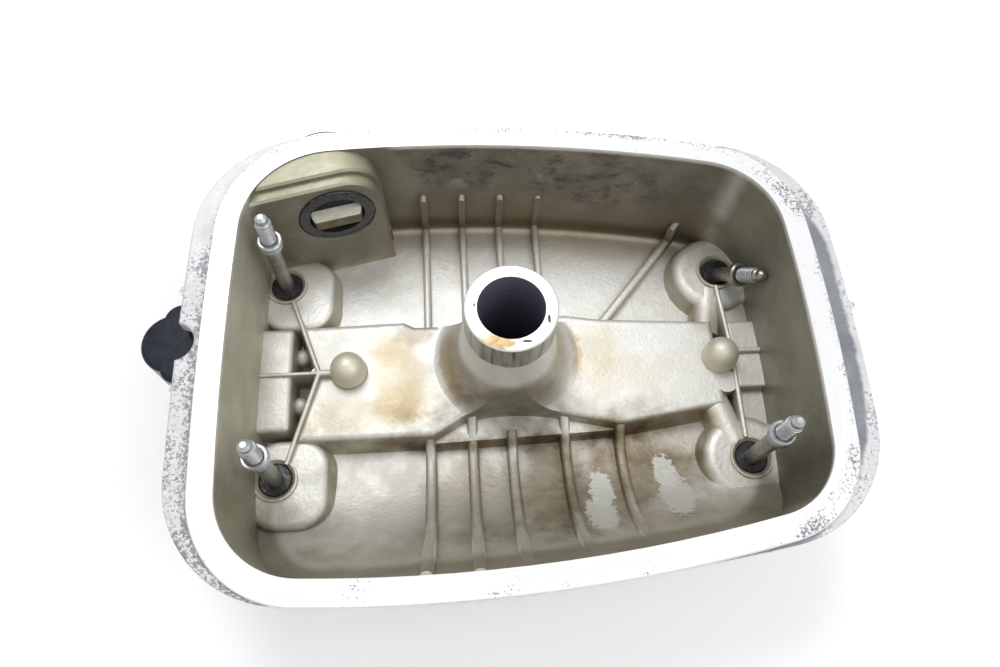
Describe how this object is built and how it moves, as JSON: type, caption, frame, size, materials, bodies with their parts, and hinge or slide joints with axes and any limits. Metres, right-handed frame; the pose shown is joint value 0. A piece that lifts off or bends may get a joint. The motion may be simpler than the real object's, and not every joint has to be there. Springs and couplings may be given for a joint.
{
  "type": "engine valve cover",
  "caption": "Cast aluminium valve cover of a flat-twin engine, open side up, with captive shoulder bolts, oil filler plug and plastic spark plug cover.",
  "frame": {"origin": "centre of the spark plug tube at the machined sealing face", "axes": "+Z along the plug tube out of the open side, towards the cylinder head; +X along the cover; +Y towards the oil filler"},
  "size_m": [0.2641, 0.1936, 0.0831],
  "materials": {
    "casting": "as cast, oil stained, rim machined",
    "bolt_steel": "zinc plated",
    "washer_steel": "zinc plated",
    "grommet_rubber": "oily",
    "seal_rubber": "oily",
    "plug_plastic": "moulded",
    "key_metal": "as cast, oily",
    "cover_plastic": "moulded, glossy"
  },
  "bodies": {
    "cover": {"cover_casting": "casting", "grommet_left_far": "grommet_rubber", "grommet_left_near": "grommet_rubber", "grommet_right_near": "grommet_rubber", "grommet_right_far": "grommet_rubber", "filler_seal": "seal_rubber", "plug_cover": "cover_plastic"},
    "washer_left_far": {"washer_left_far": "washer_steel"},
    "bolt_left_far": {"bolt_left_far": "bolt_steel"},
    "washer_left_near": {"washer_left_near": "washer_steel"},
    "bolt_left_near": {"bolt_left_near": "bolt_steel"},
    "washer_right_near": {"washer_right_near": "washer_steel"},
    "bolt_right_near": {"bolt_right_near": "bolt_steel"},
    "washer_right_far": {"washer_right_far": "washer_steel"},
    "bolt_right_far": {"bolt_right_far": "bolt_steel"},
    "filler_plug": {"filler_plug": "plug_plastic", "plug_o_ring": "seal_rubber", "plug_key": "key_metal"}
  },
  "joints": [
    {"name": "bolt_slide_left_far", "type": "slide", "parent": "cover", "child": "washer_left_far", "axis": [0.017, 0.0479, 0.9987], "range_m": [-0.031, 0]},
    {"name": "bolt_turn_left_far", "type": "hinge", "parent": "washer_left_far", "child": "bolt_left_far", "pos_m": [-0.0934, 0.03815, -0.05225], "axis": [0.017, 0.0479, 0.9987], "continuous": true},
    {"name": "bolt_slide_left_near", "type": "slide", "parent": "cover", "child": "washer_left_near", "axis": [0.027, -0.008, 0.9996], "range_m": [-0.031, 0]},
    {"name": "bolt_turn_left_near", "type": "hinge", "parent": "washer_left_near", "child": "bolt_left_near", "pos_m": [-0.0934, -0.04715, -0.05225], "axis": [0.027, -0.008, 0.9996], "continuous": true},
    {"name": "bolt_slide_right_near", "type": "slide", "parent": "cover", "child": "washer_right_near", "axis": [-0.012, -0.016, 0.9998], "range_m": [-0.031, 0]},
    {"name": "bolt_turn_right_near", "type": "hinge", "parent": "washer_right_near", "child": "bolt_right_near", "pos_m": [0.0966, -0.04715, -0.05225], "axis": [-0.012, -0.016, 0.9998], "continuous": true},
    {"name": "bolt_slide_right_far", "type": "slide", "parent": "cover", "child": "washer_right_far", "axis": [0.2898, -0.4802, 0.8279], "range_m": [-0.003, 0]},
    {"name": "bolt_turn_right_far", "type": "hinge", "parent": "washer_right_far", "child": "bolt_right_far", "pos_m": [0.0966, 0.03815, -0.05225], "axis": [0.2898, -0.4802, 0.8279], "continuous": true},
    {"name": "filler_plug_turn", "type": "hinge", "parent": "cover", "child": "filler_plug", "pos_m": [-0.07126, 0.07093, -0.0218], "axis": [-0.225, 0.9744, 0], "range_deg": [0, 90]}
  ]
}
